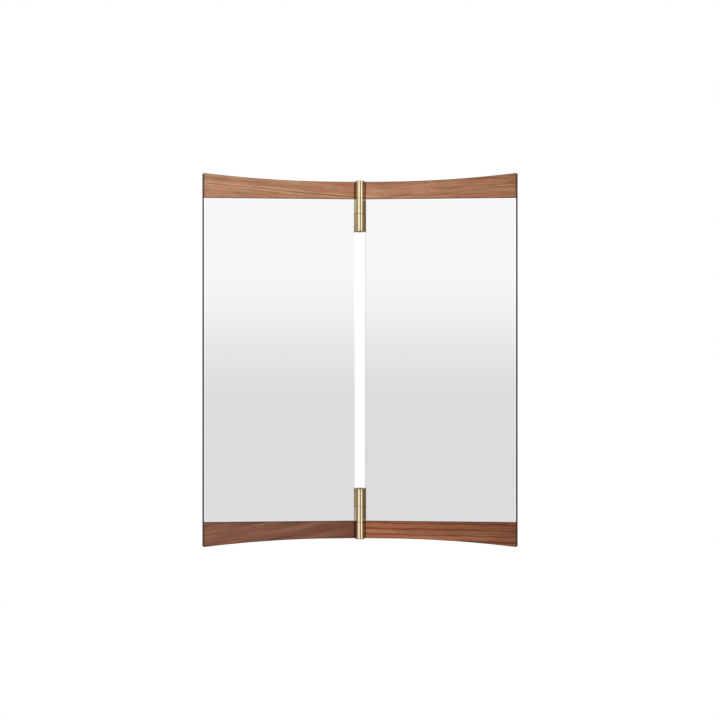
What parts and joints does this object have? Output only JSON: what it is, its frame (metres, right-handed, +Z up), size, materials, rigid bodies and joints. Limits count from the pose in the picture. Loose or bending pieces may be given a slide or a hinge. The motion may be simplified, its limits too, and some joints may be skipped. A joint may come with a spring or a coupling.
{
  "type": "wall mirror",
  "caption": "Folding wall mirror: wood-framed mirror panels with curved outer rails swing on upright brass hinge barrels, carried by wall plates with countersunk screw holes.",
  "frame": {"origin": "on the wall plane, on the line of the hinge axis, at mid height, which is the centre of the four wall screw holes", "axes": "+Z up, -Y out of the wall towards the viewer, +Y into the wall, +X to the viewer's right"},
  "size_m": [0.5916, 0.0865, 0.6998],
  "materials": {
    "brass": "satin, drawn along the barrel",
    "steel": "zinc plated",
    "nylon": "moulded, dark",
    "walnut_top_left": "oiled, pale",
    "walnut_top_right": "oiled",
    "walnut_bottom_left": "oiled, dark",
    "walnut_bottom_right": "oiled, dark",
    "walnut_side": "oiled, long grain",
    "beech": "plain dowel",
    "plywood": "sanded plywood",
    "mounting_tape": "double-sided mounting tape",
    "mirror": "silvered glass with a narrow bevel",
    "felt": "pressed felt"
  },
  "bodies": {
    "wall_bracket": {"upper_wall_plate": "brass", "lower_wall_plate": "brass", "upper_wall_arm": "brass", "lower_wall_arm": "brass", "arm_screws": "steel", "upper_hinge_pin": "brass", "lower_hinge_pin": "brass", "upper_thrust_washers": "brass", "lower_thrust_washers": "brass", "spring_washers": "steel", "upper_pin_nut": "brass", "lower_pin_nut": "brass"},
    "left_panel": {"left_top_rail": "walnut_top_left", "left_bottom_rail": "walnut_bottom_left", "left_middle_rail": "walnut_side", "left_outer_stile": "walnut_side", "left_inner_stile": "walnut_side", "left_dowels": "beech", "left_back_board": "plywood", "left_back_screws": "steel", "left_mirror_tape": "mounting_tape", "left_mirror_glass": "mirror", "left_upper_leaf": "brass", "left_lower_leaf": "brass", "left_bushes": "nylon", "left_leaf_screws": "brass", "left_wall_pads": "felt"},
    "right_panel": {"right_top_rail": "walnut_top_right", "right_bottom_rail": "walnut_bottom_right", "right_middle_rail": "walnut_side", "right_outer_stile": "walnut_side", "right_inner_stile": "walnut_side", "right_dowels": "beech", "right_back_board": "plywood", "right_back_screws": "steel", "right_mirror_tape": "mounting_tape", "right_mirror_glass": "mirror", "right_upper_leaf": "brass", "right_lower_leaf": "brass", "right_bushes": "nylon", "right_leaf_screws": "brass", "right_wall_pads": "felt"}
  },
  "joints": [
    {"name": "left_panel_swing", "type": "hinge", "parent": "wall_bracket", "child": "left_panel", "pos_m": [0, -0.031, 0], "axis": [0, 0, 1], "range_deg": [-11.5, 78.5]},
    {"name": "right_panel_swing", "type": "hinge", "parent": "wall_bracket", "child": "right_panel", "pos_m": [0, -0.031, 0], "axis": [0, 0, -1], "range_deg": [-11.5, 78.5]}
  ]
}
